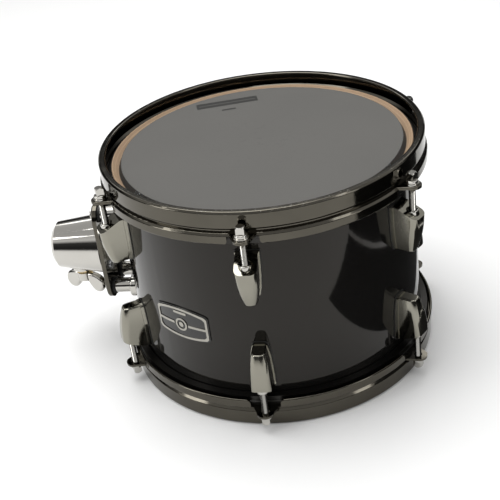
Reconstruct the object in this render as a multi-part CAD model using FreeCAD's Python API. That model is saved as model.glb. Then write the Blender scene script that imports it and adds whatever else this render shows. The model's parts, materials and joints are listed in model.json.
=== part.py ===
import FreeCAD, Part
import math
import os

# A 10 x 7 inch tom tom drum with a receiver for a tom arm, in millimetres.
# +Z runs up the drum's axis and the origin is the centre of the face that it stands on,
# the rim of the lower hoop.  Lug 1 faces -Y and the mount faces -X.
# Everything at the upper head is built in place, and everything at the lower head is the
# same piece turned over about the Y direction through the middle of the shell.

os.makedirs("parts", exist_ok=True)

Vec = FreeCAD.Vector
UP = Vec(0, 0, 1)
OUT = Vec(1, 0, 0)         # away from the drum's axis, for pieces built along +X

# ---- driving dimensions --------------------------------------------------------------

# shell
SHELL_OD = 250.8
SHELL_WALL = 6.0
SHELL_DEPTH = 178.0
BEVEL_DEPTH = 4.5          # 45 degree cut inside the bearing edge
COUNTER_CUT = 0.9          # small cut outside the bearing edge
RIM_RISE = 10.0            # how far each hoop's rim stands beyond the bearing edge

# hoops: one folded sheet, rim turned inwards, groove under the wall, then shelf and skirt
HOOP_GAUGE = 2.3
WALL_RADIUS = 134.5        # outside of the upright wall
WALL_HEIGHT = 12.8         # from the rim to the bend above the groove
LIP_REACH = 3.6            # how far the rim turns inwards
GROOVE_DEPTH = 2.0         # how far the sheet steps in above the shelf
SHELF_DROP = 18.2          # from the rim to the middle of the shelf's sheet
SKIRT_RADIUS = 136.0       # outside of the skirt
HOOP_DEPTH = 26.0          # from the rim to the skirt's free edge
EAR_HALF_WIDTH = 12.2      # the skirt stops this far to each side of a rod
EAR_TIP_RADIUS = 7.8

# heads
FILM_GAUGE = 0.3
FILM_GAP = 0.1             # film above the bearing edge
FLESH_INNER = 126.55
FLESH_OUTER = 132.7
FLESH_HEIGHT = 8.0
FLESH_FOOT = 3.0           # height of the bead that closes the flesh hoop below

# tension rods, lugs and their fasteners
LUG_COUNT = 6
ROD_CIRCLE = 140.9         # radius that the rods stand on
ROD_DIAMETER = 5.5
ROD_LENGTH = 45.0          # under the collar
ROD_HEAD_SQUARE = 6.3
ROD_HEAD_HEIGHT = 6.2
COLLAR_DIAMETER = 10.0
COLLAR_HEIGHT = 2.4
ROD_WASHER_HEIGHT = 1.2
RUNNING_GAP = 0.05

LUG_TIP_HEIGHT = 122.0     # height of the flat tip of an upper lug above the floor
LUG_TOP_HEIGHT = 161.0
LUG_SHAPE = (               # height above the tip, half width, depth, corner radius
    (0.0, 5.3, 16.6, 4.6),
    (8.0, 7.0, 19.2, 5.4),
    (18.0, 8.0, 21.4, 5.6),
    (29.0, 8.5, 22.4, 5.2),
    (41.0, 8.6, 22.2, 4.6),
)
LUG_BASE_EDGE = 0.8         # the stepped base is wider than the body by this on each side
LUG_BASE_STEP = 2.6
LUG_TIP_ROUND = 1.6
GASKET_THICKNESS = 0.5
NUT_LENGTH = 16.4
NUT_DIAMETER = 9.4
NUT_TOP_HEIGHT = 158.6
SCREW_DIAMETER = 4.0
SCREW_HEIGHTS = (129.0, 152.0)

# badge
BADGE_AZIMUTH = -30.5
BADGE_WIDTH = 53.0
BADGE_TOP = 100.5
BADGE_ARCH = 3.5           # how far the top edge drops towards its corners
BADGE_SIDE = 24.5
BADGE_BOW = 2.0
BADGE_CORNER = 2.0
BADGE_FIELD = 0.9          # thickness of the enamelled plate
BADGE_RELIEF = 0.6         # how far its border and emblem stand above that
BADGE_BORDER = 1.9
BADGE_STRIPE = 2.2
BADGE_EMBLEM_DROP = 16.5    # below the top of the arch
BADGE_RING = 5.9
BADGE_PIN_SPACING = 40.0
BADGE_PIN_RADIUS = 1.0
BADGE_PIN_DROP = 10.0      # pins below the badge's top edge

# vent
VENT_AZIMUTH = 150.0
VENT_HOLE = 9.6
VENT_FLANGE = 17.0

# tom mount
MOUNT_HEIGHT = 99.0        # height of the receiver's axis, the middle of the drum
POST_SPACING_Z = 74.0
POST_SPACING_Y = 28.0
POST_DIAMETER = 13.0
POST_GAP = 2.0             # from the posts' ends to the back of the plate
FOOT_SCREW_RADIUS = 2.5
FOOT_PAD = 1.0             # rubber between a foot and the shell
GROMMET_LIP = 1.4
PLATE_BACK = 146.0         # distance from the drum's axis to the back of the plate
PLATE_THICKNESS = 4.0
PLATE_SIZE = (54.0, 94.0)
PLATE_CORNER = 14.0
RECEIVER_END = 195.5
RECEIVER_BASE_RADIUS = 27.5
RECEIVER_TIP_RADIUS = 20.6
SLEEVE_RADIUS = 13.5
ARM_DIAMETER = 22.2        # the tube that the receiver takes
SLEEVE_DEPTH = 40.0
WING_DISTANCE = 176.5      # from the drum's axis to the wing bolt's
WING_TURN = -22.0
WING_TRAVEL = 1.875        # how far the wing bolt screws in
STUD_RADIUS = 4.0
BOSS_RADIUS = 9.4
BOSS_BORE = 6.0
INSERT_FLANGE = 1.8
INSERT_TOP = 80.6
SHOE_RADIUS = 5.95
SHOE_BOTTOM = 82.4
SHOE_REST_DROP = 1.2       # the shoe's rest place below the arm
SADDLE_RADIUS = 14.0

# ---- values worked out from them -----------------------------------------------------

SHELL_RADIUS = SHELL_OD / 2
SHELL_INNER = SHELL_RADIUS - SHELL_WALL
SHELL_BOTTOM = RIM_RISE
SHELL_TOP = RIM_RISE + SHELL_DEPTH
FILM_UNDER = SHELL_TOP + FILM_GAP
FILM_BEND = SHELL_RADIUS - 0.6
HEIGHT = SHELL_DEPTH + 2 * RIM_RISE
MIDDLE = HEIGHT / 2
LUG_PITCH = 360 / LUG_COUNT
LUG_AZIMUTHS = [i * LUG_PITCH for i in range(LUG_COUNT)]
HALF_GAUGE = HOOP_GAUGE / 2
SHELF_TOP = HEIGHT - SHELF_DROP + HALF_GAUGE
SHELF_BOTTOM = SHELF_TOP - HOOP_GAUGE
COLLAR_BOTTOM = SHELF_TOP + ROD_WASHER_HEIGHT
LUG_SEAT = SHELL_RADIUS + GASKET_THICKNESS
BADGE_PIN_HEIGHT = BADGE_TOP - BADGE_PIN_DROP
POST_END = PLATE_BACK - POST_GAP
PLATE_FRONT = PLATE_BACK + PLATE_THICKNESS
FOOT_SCREW_SEAT = SHELL_INNER - 2.8
SLEEVE_START = RECEIVER_END - SLEEVE_DEPTH


# ---- helpers -------------------------------------------------------------------------

def cylinder(radius, height, centre, direction=UP):
    return Part.makeCylinder(radius, height, Vec(*centre), direction)


def box_between(low, high):
    size = [b - a for a, b in zip(low, high)]
    return Part.makeBox(size[0], size[1], size[2], Vec(*low))


def prism(points, travel):
    """Solid made by moving a closed polygon along a vector."""
    corners = [Vec(*p) for p in points]
    wire = Part.makePolygon(corners + corners[:1])
    return Part.Face(wire).extrude(Vec(*travel))


def turned_profile(points):
    """Ring made by turning a closed (radius, height) polygon about the drum's axis."""
    corners = [Vec(r, 0, z) for r, z in points]
    wire = Part.makePolygon(corners + corners[:1])
    return Part.Face(wire).revolve(Vec(0, 0, 0), UP, 360)


def pipe(outer, inner, low, high):
    return turned_profile([(inner, low), (outer, low), (outer, high), (inner, high)])


def arc(a, middle, b):
    return Part.Arc(Vec(*a), Vec(*middle), Vec(*b)).toShape()


def line(a, b):
    return Part.makeLine(Vec(*a), Vec(*b))


def at_azimuth(shape, azimuth):
    """Carry a piece built along +X to an azimuth counted from -Y towards +X."""
    placed = shape.copy()
    placed.rotate(Vec(0, 0, 0), UP, azimuth - 90)
    return placed


def turned_over(shape):
    """Carry an upper piece to the lower head."""
    placed = shape.copy()
    placed.rotate(Vec(0, 0, MIDDLE), Vec(0, 1, 0), 180)
    return placed


def edges_where(shape, test):
    """Edges whose middle point passes a test on its x, y and z."""
    chosen = []
    for edge in shape.Edges:
        middle = edge.valueAt((edge.FirstParameter + edge.LastParameter) / 2)
        if test(middle.x, middle.y, middle.z):
            chosen.append(edge)
    return chosen


def write(name, *solids):
    shape = solids[0] if len(solids) == 1 else Part.makeCompound(list(solids))
    if not shape.isValid():
        print("INVALID", name)
    shape.exportStep("parts/" + name + ".step")
    print(f"{name}: {len(shape.Solids)} solid(s), {shape.Volume / 1000:.2f} cm3")


# ---- shell ---------------------------------------------------------------------------

def make_shell():
    edge_inner = SHELL_INNER + BEVEL_DEPTH
    edge_outer = SHELL_RADIUS - COUNTER_CUT
    profile = [
        (SHELL_INNER, SHELL_BOTTOM + BEVEL_DEPTH),
        (edge_inner, SHELL_BOTTOM),
        (edge_outer, SHELL_BOTTOM),
        (SHELL_RADIUS, SHELL_BOTTOM + COUNTER_CUT),
        (SHELL_RADIUS, SHELL_TOP - COUNTER_CUT),
        (edge_outer, SHELL_TOP),
        (edge_inner, SHELL_TOP),
        (SHELL_INNER, SHELL_TOP - BEVEL_DEPTH),
    ]
    shell = turned_profile(profile)
    drills = []
    for azimuth in LUG_AZIMUTHS:
        for height in SCREW_HEIGHTS:
            for level in (height, HEIGHT - height):
                drills.append(radial_drill(SCREW_DIAMETER / 2 + 0.2, level, 0, azimuth))
    for height, side in post_places():
        drills.append(radial_drill(FOOT_SCREW_RADIUS + 0.2, height, side, -90))
    drills.append(radial_drill(VENT_HOLE / 2, MIDDLE, 0, VENT_AZIMUTH))
    for side in (-BADGE_PIN_SPACING / 2, BADGE_PIN_SPACING / 2):
        drills.append(radial_drill(BADGE_PIN_RADIUS, BADGE_PIN_HEIGHT, side, BADGE_AZIMUTH))
    return shell.cut(drills)


def radial_drill(radius, height, side, azimuth):
    """Cylinder that crosses the shell wall at an azimuth, moved sideways by `side`."""
    start = (SHELL_INNER - 8, side, height)
    return at_azimuth(cylinder(radius, SHELL_WALL + 16, start, OUT), azimuth)


def make_vent_grommet():
    """Eyelet: a rolled flange outside and a barrel through the shell."""
    start = (SHELL_INNER - 2.0, 0, MIDDLE)
    barrel = cylinder(VENT_HOLE / 2 - 0.05, SHELL_WALL + 3.4, start, OUT)
    flange = cylinder(VENT_FLANGE / 2, 3.0, (SHELL_RADIUS - 1.2, 0, MIDDLE), OUT)
    flange = flange.cut(cylinder(SHELL_RADIUS, 40, (0, 0, MIDDLE - 20)))
    outer_rim = edges_where(flange, lambda x, y, z: x > SHELL_RADIUS + 1.6)
    flange = flange.makeFillet(1.1, outer_rim)
    bore = cylinder(VENT_HOLE / 2 - 1.1, 30, (SHELL_INNER - 10, 0, MIDDLE), OUT)
    return at_azimuth(flange.fuse(barrel).cut(bore).removeSplitter(), VENT_AZIMUTH)


def make_vent_ring():
    """Loose ring that the barrel is rolled over inside the shell."""
    ring = cylinder(7.4, 3.0, (SHELL_INNER - 1.2, 0, MIDDLE), OUT)
    ring = ring.common(cylinder(SHELL_INNER, 40, (0, 0, MIDDLE - 20)))
    hole = cylinder(VENT_HOLE / 2, 12, (SHELL_INNER - 6, 0, MIDDLE), OUT)
    return at_azimuth(ring.cut(hole), VENT_AZIMUTH)


# ---- badge ---------------------------------------------------------------------------


def badge_outline(inset):
    """Prism across the shell wall: arched top, upright sides, shallow bow below."""
    half = BADGE_WIDTH / 2 - inset
    crown = BADGE_TOP - inset
    shoulder = crown - BADGE_ARCH
    side = BADGE_TOP - BADGE_ARCH - BADGE_SIDE + inset
    bow = side - BADGE_BOW
    inner = half - BADGE_CORNER
    x = SHELL_RADIUS - 8
    edges = [
        arc((x, -inner, shoulder), (x, 0, crown), (x, inner, shoulder)),
        line((x, inner, shoulder), (x, half, shoulder - BADGE_CORNER)),
        line((x, half, shoulder - BADGE_CORNER), (x, half, side + BADGE_CORNER)),
        line((x, half, side + BADGE_CORNER), (x, inner, side)),
        arc((x, inner, side), (x, 0, bow), (x, -inner, side)),
        line((x, -inner, side), (x, -half, side + BADGE_CORNER)),
        line((x, -half, side + BADGE_CORNER), (x, -half, shoulder - BADGE_CORNER)),
        line((x, -half, shoulder - BADGE_CORNER), (x, -inner, shoulder)),
    ]
    return Part.Face(Part.Wire(edges)).extrude(Vec(14, 0, 0))


def shell_skin(low, high):
    """Layer that follows the outside of the shell, between two heights above it."""
    return pipe(SHELL_RADIUS + high, SHELL_RADIUS + low, 40, 130)


def make_badge():
    field = badge_outline(0).common(shell_skin(0, BADGE_FIELD))
    relief_layer = shell_skin(BADGE_FIELD, BADGE_FIELD + BADGE_RELIEF)
    border = badge_outline(0.9).cut(badge_outline(0.9 + BADGE_BORDER))
    start = SHELL_RADIUS - 8
    emblem_height = BADGE_TOP - BADGE_EMBLEM_DROP
    half = BADGE_WIDTH / 2 - 1.5
    stripe_low = emblem_height - BADGE_STRIPE / 2
    stripe_high = emblem_height + BADGE_STRIPE / 2
    stripe = box_between((start, -half, stripe_low), (start + 14, half, stripe_high))
    clear = cylinder(BADGE_RING + 1.4, 14, (start, 0, emblem_height), OUT)
    ring = cylinder(BADGE_RING, 14, (start, 0, emblem_height), OUT)
    ring = ring.cut(cylinder(BADGE_RING - 1.7, 14, (start, 0, emblem_height), OUT))
    boss = cylinder(2.3, 14, (start, 0, emblem_height), OUT)
    bar = box_between((start, -6.5, BADGE_TOP - 6.4), (start + 14, 6.5, BADGE_TOP - 4.2))
    raised = [border, stripe.cut(clear), ring, boss, bar]
    raised = [piece.common(relief_layer) for piece in raised]
    pins = []
    for side in (-BADGE_PIN_SPACING / 2, BADGE_PIN_SPACING / 2):
        pin_start = (SHELL_INNER - 2.5, side, BADGE_PIN_HEIGHT)
        pins.append(cylinder(BADGE_PIN_RADIUS - 0.05, SHELL_WALL + 1.1, pin_start, OUT))
    return at_azimuth(field.fuse(raised + pins).removeSplitter(), BADGE_AZIMUTH)


# ---- heads and hoops -----------------------------------------------------------------

def make_film():
    """Playing surface: the flat of the film, out to the bend over the bearing edge."""
    return cylinder(FILM_BEND, FILM_GAUGE, (0, 0, FILM_UNDER))


def make_film_collar():
    """Collar moulded at the film's edge, which turns down into the flesh hoop."""
    outer = FLESH_INNER - 0.05
    inner = outer - FILM_GAUGE
    bottom = SHELF_BOTTOM - FLESH_HEIGHT + FLESH_FOOT
    top = FILM_UNDER + FILM_GAUGE
    profile = [
        (FILM_BEND, FILM_UNDER), (inner, FILM_UNDER - 1.6), (inner, bottom),
        (outer, bottom), (outer, FILM_UNDER - 1.4), (FILM_BEND + 0.2, top), (FILM_BEND, top),
    ]
    return turned_profile(profile)


def make_flesh_hoop():
    """Channel ring that grips the film: a deep groove from below and a bead outside."""
    top = SHELF_BOTTOM
    low = top - FLESH_HEIGHT
    foot_inner = FLESH_INNER - 0.05 - FILM_GAUGE
    profile = [
        (FLESH_INNER, top), (FLESH_OUTER, top),
        (FLESH_OUTER, top - 3.0), (FLESH_OUTER - 0.8, top - 3.6),
        (FLESH_OUTER - 0.8, low), (foot_inner, low), (foot_inner, low + FLESH_FOOT),
        (FLESH_INNER, low + FLESH_FOOT),
    ]
    return turned_profile(profile)


def hoop_section():
    """Face of the folded sheet, made from its middle line."""
    wall = WALL_RADIUS - HALF_GAUGE
    groove = wall - GROOVE_DEPTH
    skirt = SKIRT_RADIUS - HALF_GAUGE
    rim = HEIGHT - HALF_GAUGE
    shelf = HEIGHT - SHELF_DROP
    bend = HEIGHT - WALL_HEIGHT
    path = [
        (wall - LIP_REACH, rim), (wall - 0.8, rim), (wall, rim - 0.8), (wall, bend),
        (groove, bend - GROOVE_DEPTH), (groove, shelf + 0.6), (groove + 0.6, shelf),
        (skirt - 1.2, shelf), (skirt, shelf - 1.2), (skirt, HEIGHT - HOOP_DEPTH + HALF_GAUGE),
    ]
    wire = Part.makePolygon([Vec(r, 0, z) for r, z in path])
    outline = wire.makeOffset2D(HALF_GAUGE, 0, False, False, False)
    return Part.Face(outline)


def ear_plate():
    """Flat ear on the shelf, built at +X, with its rod hole."""
    back = SKIRT_RADIUS - 3.2
    spread = EAR_HALF_WIDTH - 1.0
    tip = ROD_CIRCLE
    lean = 6.9
    outline = [
        line((back, -spread, SHELF_BOTTOM), (tip + 1.5, -lean, SHELF_BOTTOM)),
        arc((tip + 1.5, -lean, SHELF_BOTTOM), (tip + EAR_TIP_RADIUS, 0, SHELF_BOTTOM),
            (tip + 1.5, lean, SHELF_BOTTOM)),
        line((tip + 1.5, lean, SHELF_BOTTOM), (back, spread, SHELF_BOTTOM)),
        line((back, spread, SHELF_BOTTOM), (back, -spread, SHELF_BOTTOM)),
    ]
    plate = Part.Face(Part.Wire(outline)).extrude(Vec(0, 0, HOOP_GAUGE))
    rounded = edges_where(plate, lambda x, y, z: z > SHELF_TOP - 0.1 and x > back + 0.1)
    plate = plate.makeFillet(0.7, rounded)
    hole = cylinder(ROD_DIAMETER / 2 + 0.6, 10, (ROD_CIRCLE, 0, SHELF_BOTTOM - 4))
    return plate, hole


def skirt_gap():
    """Opening in the skirt at an ear, with rounded lower corners left on the skirt."""
    low = HEIGHT - HOOP_DEPTH - 1
    x = SKIRT_RADIUS - 5
    half = EAR_HALF_WIDTH
    corner = 3.6
    edges = [
        line((x, -half, SHELF_BOTTOM), (x, half, SHELF_BOTTOM)),
        line((x, half, SHELF_BOTTOM), (x, half, low + 1 + corner)),
        arc((x, half, low + 1 + corner), (x, half + 0.293 * corner, low + 1 + 0.293 * corner),
            (x, half + corner, low + 1)),
        line((x, half + corner, low + 1), (x, half + corner, low)),
        line((x, half + corner, low), (x, -half - corner, low)),
        line((x, -half - corner, low), (x, -half - corner, low + 1)),
        arc((x, -half - corner, low + 1), (x, -half - 0.293 * corner, low + 1 + 0.293 * corner),
            (x, -half, low + 1 + corner)),
        line((x, -half, low + 1 + corner), (x, -half, SHELF_BOTTOM)),
    ]
    return Part.Face(Part.Wire(edges)).extrude(Vec(8, 0, 0))


def make_hoop():
    ring = hoop_section().revolve(Vec(0, 0, 0), UP, 360)
    plate, hole = ear_plate()
    gap = skirt_gap()
    ring = ring.cut([at_azimuth(gap, azimuth) for azimuth in LUG_AZIMUTHS])
    ring = ring.fuse([at_azimuth(plate, azimuth) for azimuth in LUG_AZIMUTHS])
    return ring.cut([at_azimuth(hole, azimuth) for azimuth in LUG_AZIMUTHS])


# ---- tension rods and washers --------------------------------------------------------

def make_rod():
    """Square-headed rod, built at +X with its collar on the ear's washer."""
    shank = cylinder(ROD_DIAMETER / 2, ROD_LENGTH, (ROD_CIRCLE, 0, COLLAR_BOTTOM - ROD_LENGTH))
    shank = shank.makeChamfer(0.8, [shank.Edges[2]])
    collar = cylinder(COLLAR_DIAMETER / 2, COLLAR_HEIGHT, (ROD_CIRCLE, 0, COLLAR_BOTTOM))
    top_edge = edges_where(collar, lambda x, y, z: z > COLLAR_BOTTOM + COLLAR_HEIGHT - 0.1)
    collar = collar.makeFillet(0.8, top_edge)
    half = ROD_HEAD_SQUARE / 2
    low = COLLAR_BOTTOM + COLLAR_HEIGHT
    top = low + ROD_HEAD_HEIGHT
    head = box_between((ROD_CIRCLE - half, -half, low - 0.5), (ROD_CIRCLE + half, half, top))
    dome = Part.makeCone(half * 1.9, half * 0.9, 3.2, Vec(ROD_CIRCLE, 0, top - 3.0))
    body = cylinder(half * 1.9, ROD_HEAD_HEIGHT - 2.5, (ROD_CIRCLE, 0, low - 0.5))
    head = head.common(body.fuse(dome))
    return shank.fuse([collar, head]).removeSplitter()


def make_rod_washer():
    ring = pipe(5.9, ROD_DIAMETER / 2 + RUNNING_GAP, SHELF_TOP, SHELF_TOP + ROD_WASHER_HEIGHT)
    ring.translate(Vec(ROD_CIRCLE, 0, 0))
    return ring


# ---- lugs ----------------------------------------------------------------------------

def lug_section(height, half, depth, corner):
    """U-shaped outline of the casting at one height, open side towards the shell."""
    back = SHELL_RADIUS - 3
    front = LUG_SEAT + depth
    diagonal = corner * (1 - math.sqrt(0.5))
    edges = [
        line((back, -half, height), (front - corner, -half, height)),
        arc((front - corner, -half, height), (front - diagonal, -half + diagonal, height),
            (front, -half + corner, height)),
        line((front, -half + corner, height), (front, half - corner, height)),
        arc((front, half - corner, height), (front - diagonal, half - diagonal, height),
            (front - corner, half, height)),
        line((front - corner, half, height), (back, half, height)),
        line((back, half, height), (back, -half, height)),
    ]
    return Part.Wire(edges)


def make_lug():
    """Die-cast lug: a tapering U-shaped body on a stepped base, open at the rod end."""
    top = LUG_TOP_HEIGHT
    tip = LUG_TIP_HEIGHT
    sections = [lug_section(tip + rise, half, depth, corner) for rise, half, depth, corner in LUG_SHAPE]
    body = Part.makeLoft(sections, True, False)
    end = edges_where(body, lambda x, y, z: abs(z - tip) < 0.05 and x > LUG_SEAT)
    body = body.makeFillet(LUG_TIP_ROUND, end)
    base = lug_base(LUG_BASE_EDGE, LUG_BASE_STEP)
    body = body.fuse(base)
    body = body.cut(cylinder(LUG_SEAT, HEIGHT, (0, 0, 0)))
    slope = [
        (131.5, -20, top), (152.0, -20, 151.5), (152.0, -20, top + 9),
        (100, -20, top + 9), (100, -20, top),
    ]
    body = body.cut(prism(slope, (0, 40, 0)))
    cup_floor = NUT_TOP_HEIGHT - NUT_LENGTH
    body = body.cut(cylinder(NUT_DIAMETER / 2 + 0.4, 30, (ROD_CIRCLE, 0, cup_floor)))
    body = body.cut(cylinder(ROD_DIAMETER / 2 + 0.7, 30, (ROD_CIRCLE, 0, cup_floor - 7)))
    for height, depth in zip(SCREW_HEIGHTS, (11.0, 7.2)):
        hole = cylinder(SCREW_DIAMETER / 2, depth, (LUG_SEAT - 2, 0, height), OUT)
        body = body.cut(hole)
    return body.removeSplitter()


def lug_base(edge, depth):
    """Tapered pad behind a lug, wider than its body by `edge` on every side."""
    x = SHELL_RADIUS - 3
    rows = [(LUG_TIP_HEIGHT + rise, half + edge) for rise, half, _, _ in LUG_SHAPE[:-1]]
    rows[0] = (LUG_TIP_HEIGHT - edge, LUG_SHAPE[0][1] + edge * 0.6)
    rows.append((LUG_TOP_HEIGHT + edge * 0.5, LUG_SHAPE[-1][1] + edge))
    right = [(x, half, height) for height, half in rows]
    left = [(x, -half, height) for height, half in reversed(rows)]
    low = LUG_TIP_HEIGHT - edge
    pad = prism(right + left, (LUG_SEAT + depth - x, 0, 0))
    corners = edges_where(pad, lambda _, y, z: abs(z - low) < 0.1 and abs(y) > 3.0)
    return pad.makeFillet(3.6, corners)


def make_lug_gasket():
    pad = lug_base(LUG_BASE_EDGE + 0.6, 5)
    ring = pad.common(pipe(LUG_SEAT, SHELL_RADIUS, 0, HEIGHT))
    radius = SCREW_DIAMETER / 2 + 0.2
    holes = [cylinder(radius, 30, (110, 0, h), OUT) for h in SCREW_HEIGHTS]
    return ring.cut(holes)


def make_swivel_nut():
    """Barrel nut with a rounded flange on top."""
    low = NUT_TOP_HEIGHT - NUT_LENGTH
    barrel = cylinder(NUT_DIAMETER / 2 - 0.3, NUT_LENGTH - 1, (ROD_CIRCLE, 0, low))
    barrel = barrel.fuse(cylinder(NUT_DIAMETER / 2, 3.0, (ROD_CIRCLE, 0, NUT_TOP_HEIGHT - 3.0)))
    rim = edges_where(barrel, lambda x, y, z: z > NUT_TOP_HEIGHT - 0.1)
    barrel = barrel.makeFillet(0.9, rim)
    bore = cylinder(ROD_DIAMETER / 2 + RUNNING_GAP, NUT_LENGTH + 4, (ROD_CIRCLE, 0, low - 2))
    return barrel.cut(bore).removeSplitter()


def pan_screw(radius, head_radius, head_height, seat, reach, height, side=0.0):
    """Screw along +X: pan head inside `seat`, shank out to `reach`."""
    head = cylinder(head_radius, head_height, (seat - head_height, side, height), OUT)
    dome = edges_where(head, lambda x, y, z: x < seat - head_height + 0.1)
    head = head.makeFillet(head_height * 0.45, dome)
    shank = cylinder(radius, reach - seat, (seat, side, height), OUT)
    slot = [box_between((seat - head_height, side - 2.2, height - 0.45),
                        (seat - head_height * 0.45, side + 2.2, height + 0.45)),
            box_between((seat - head_height, side - 0.45, height - 2.2),
                        (seat - head_height * 0.45, side + 0.45, height + 2.2))]
    return head.fuse(shank).cut(slot).removeSplitter()


def inner_washer(radius, hole, height, side=0.0, thickness=1.2):
    """Washer that follows the inside of the shell."""
    ring = cylinder(radius, 8, (SHELL_INNER - 6, side, height), OUT)
    ring = ring.common(pipe(SHELL_INNER, SHELL_INNER - thickness, 0, HEIGHT))
    return ring.cut(cylinder(hole, 20, (SHELL_INNER - 12, side, height), OUT))


def make_lug_screws():
    flat = SHELL_INNER - 1.2
    radius = SCREW_DIAMETER / 2 - 0.02
    reaches = (LUG_SEAT + 8.6, LUG_SEAT + 4.9)
    return [pan_screw(radius, 3.9, 2.6, flat - 0.1, reach, height)
            for reach, height in zip(reaches, SCREW_HEIGHTS)]


# ---- tom mount, built along +X and carried to -X --------------------------------------


def post_places():
    """Height and sideways place of the four posts."""
    return [(MOUNT_HEIGHT + sz * POST_SPACING_Z / 2, sy * POST_SPACING_Y / 2)
            for sz in (-1, 1) for sy in (-1, 1)]


def foot_blank(height, half_y, half_z, depth):
    pad = box_between((SHELL_RADIUS - 6, -half_y, height - half_z),
                      (SHELL_RADIUS + depth, half_y, height + half_z))
    corners = edges_where(pad, lambda x, y, z: abs(abs(y) - half_y) < 0.1
                          and abs(abs(z - height) - half_z) < 0.1)
    return pad.makeFillet(half_z * 0.8, corners)


def make_foot(height):
    """Cast foot: a curved pad on the shell with two posts for the plate."""
    foot = foot_blank(height, 24.0, 9.0, 4.4)
    crown = edges_where(foot, lambda x, y, z: x > SHELL_RADIUS + 4.3)
    foot = foot.makeFillet(1.6, crown)
    posts = [cylinder(POST_DIAMETER / 2, POST_END - SHELL_RADIUS, (SHELL_RADIUS, side, height), OUT)
             for side in (-POST_SPACING_Y / 2, POST_SPACING_Y / 2)]
    foot = foot.fuse(posts).cut(cylinder(SHELL_RADIUS + FOOT_PAD, HEIGHT, (0, 0, 0)))
    holes = []
    for side in (-POST_SPACING_Y / 2, POST_SPACING_Y / 2):
        holes.append(cylinder(FOOT_SCREW_RADIUS, 12, (SHELL_RADIUS - 4, side, height), OUT))
        holes.append(cylinder(2.0, 8, (POST_END - 6.5, side, height), OUT))
    return foot.cut(holes).removeSplitter()


def make_foot_pad(height):
    sheet = pipe(SHELL_RADIUS + FOOT_PAD, SHELL_RADIUS, 0, HEIGHT)
    pad = foot_blank(height, 24.6, 9.6, 4.0).common(sheet)
    holes = [cylinder(FOOT_SCREW_RADIUS + 0.2, 30, (110, side, height), OUT)
             for side in (-POST_SPACING_Y / 2, POST_SPACING_Y / 2)]
    return pad.cut(holes)


def make_plate():
    half_y = PLATE_SIZE[0] / 2
    half_z = PLATE_SIZE[1] / 2
    plate = box_between((PLATE_BACK, -half_y, MOUNT_HEIGHT - half_z),
                        (PLATE_BACK + PLATE_THICKNESS, half_y, MOUNT_HEIGHT + half_z))
    corners = edges_where(plate, lambda x, y, z: abs(abs(y) - half_y) < 0.1
                          and abs(abs(z - MOUNT_HEIGHT) - half_z) < 0.1)
    plate = plate.makeFillet(PLATE_CORNER, corners)
    rims = edges_where(plate, lambda x, y, z: x > PLATE_BACK + PLATE_THICKNESS - 0.1)
    plate = plate.makeFillet(0.9, rims)
    holes = [cylinder(5.2, 10, (PLATE_BACK - 3, side, height), OUT)
             for height, side in post_places()]
    for height, side in receiver_screw_places():
        holes.append(cylinder(2.2, 10, (PLATE_BACK - 3, side, height), OUT))
    return plate.cut(holes)


def make_grommet(height, side):
    """Rubber bush with a flange on each face of the plate."""
    bush = cylinder(5.2, PLATE_THICKNESS, (PLATE_BACK, side, height), OUT)
    back_flange = cylinder(7.6, PLATE_BACK - POST_END, (POST_END, side, height), OUT)
    front_flange = cylinder(7.6, GROMMET_LIP, (PLATE_FRONT, side, height), OUT)
    rim = edges_where(front_flange, lambda x, y, z: x > PLATE_FRONT + GROMMET_LIP - 0.1)
    front_flange = front_flange.makeFillet(0.6, rim)
    bore = cylinder(2.1, 30, (POST_END - 5, side, height), OUT)
    return bush.fuse([back_flange, front_flange]).cut(bore).removeSplitter()


def make_plate_screw(height, side):
    """Low button-head screw with a fixed washer under its head."""
    seat = PLATE_FRONT + GROMMET_LIP
    washer = cylinder(6.0, 0.8, (seat, side, height), OUT)
    head = cylinder(4.3, 1.6, (seat + 0.8, side, height), OUT)
    rim = edges_where(head, lambda x, y, z: x > seat + 2.3)
    head = head.makeFillet(1.0, rim)
    shank = cylinder(1.95, seat - POST_END + 6, (POST_END - 6, side, height), OUT)
    socket = prism(hexagon(seat + 1.2, side, height, 1.45), (4, 0, 0))
    return washer.fuse([head, shank]).cut(socket).removeSplitter()


def hexagon(x, side, height, radius):
    angles = [math.radians(60 * i) for i in range(6)]
    return [(x, side + radius * math.cos(a), height + radius * math.sin(a)) for a in angles]


def receiver_screw_places():
    """Height and sideways place of the four screws that hold the receiver."""
    return [(MOUNT_HEIGHT + sz * 14.5, sy * 14.5) for sz in (-1, 1) for sy in (-1, 1)]


def receiver_radius(x):
    """Outside radius of the tapering receiver at a distance from the drum's axis."""
    share = (x - PLATE_FRONT) / (RECEIVER_END - PLATE_FRONT)
    return RECEIVER_BASE_RADIUS + share * (RECEIVER_TIP_RADIUS - RECEIVER_BASE_RADIUS)


BOSS_BOTTOM = MOUNT_HEIGHT - receiver_radius(WING_DISTANCE - BOSS_RADIUS) - 0.2


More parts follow.
